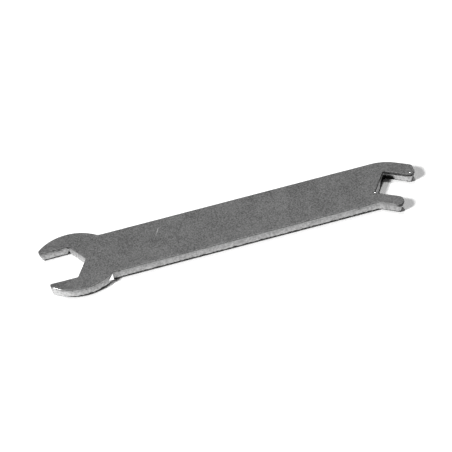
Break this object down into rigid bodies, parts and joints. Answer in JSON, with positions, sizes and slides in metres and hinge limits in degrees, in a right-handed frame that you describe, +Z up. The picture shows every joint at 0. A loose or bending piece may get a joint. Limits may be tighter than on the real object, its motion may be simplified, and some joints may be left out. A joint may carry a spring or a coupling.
{
  "type": "turnbuckle wrench",
  "caption": "Flat stamped steel wrench: an open hexagon jaw on a straight handle, with an angled square-bottomed slot at the far end, for turning turnbuckle rods and nuts.",
  "frame": {"origin": "under the middle of the wrench's length, on the handle's middle line, at the underside", "axes": "+X along the handle from the large hexagon jaw to the small slot, +Y towards the longer tine of the small slot, +Z up through the sheet"},
  "size_m": [0.0692, 0.0146, 0.002],
  "materials": {
    "steel": "matte tumbled sheet faces, brighter sheared edges"
  },
  "bodies": {
    "root": {"wrench_body": "steel"}
  },
  "joints": []
}
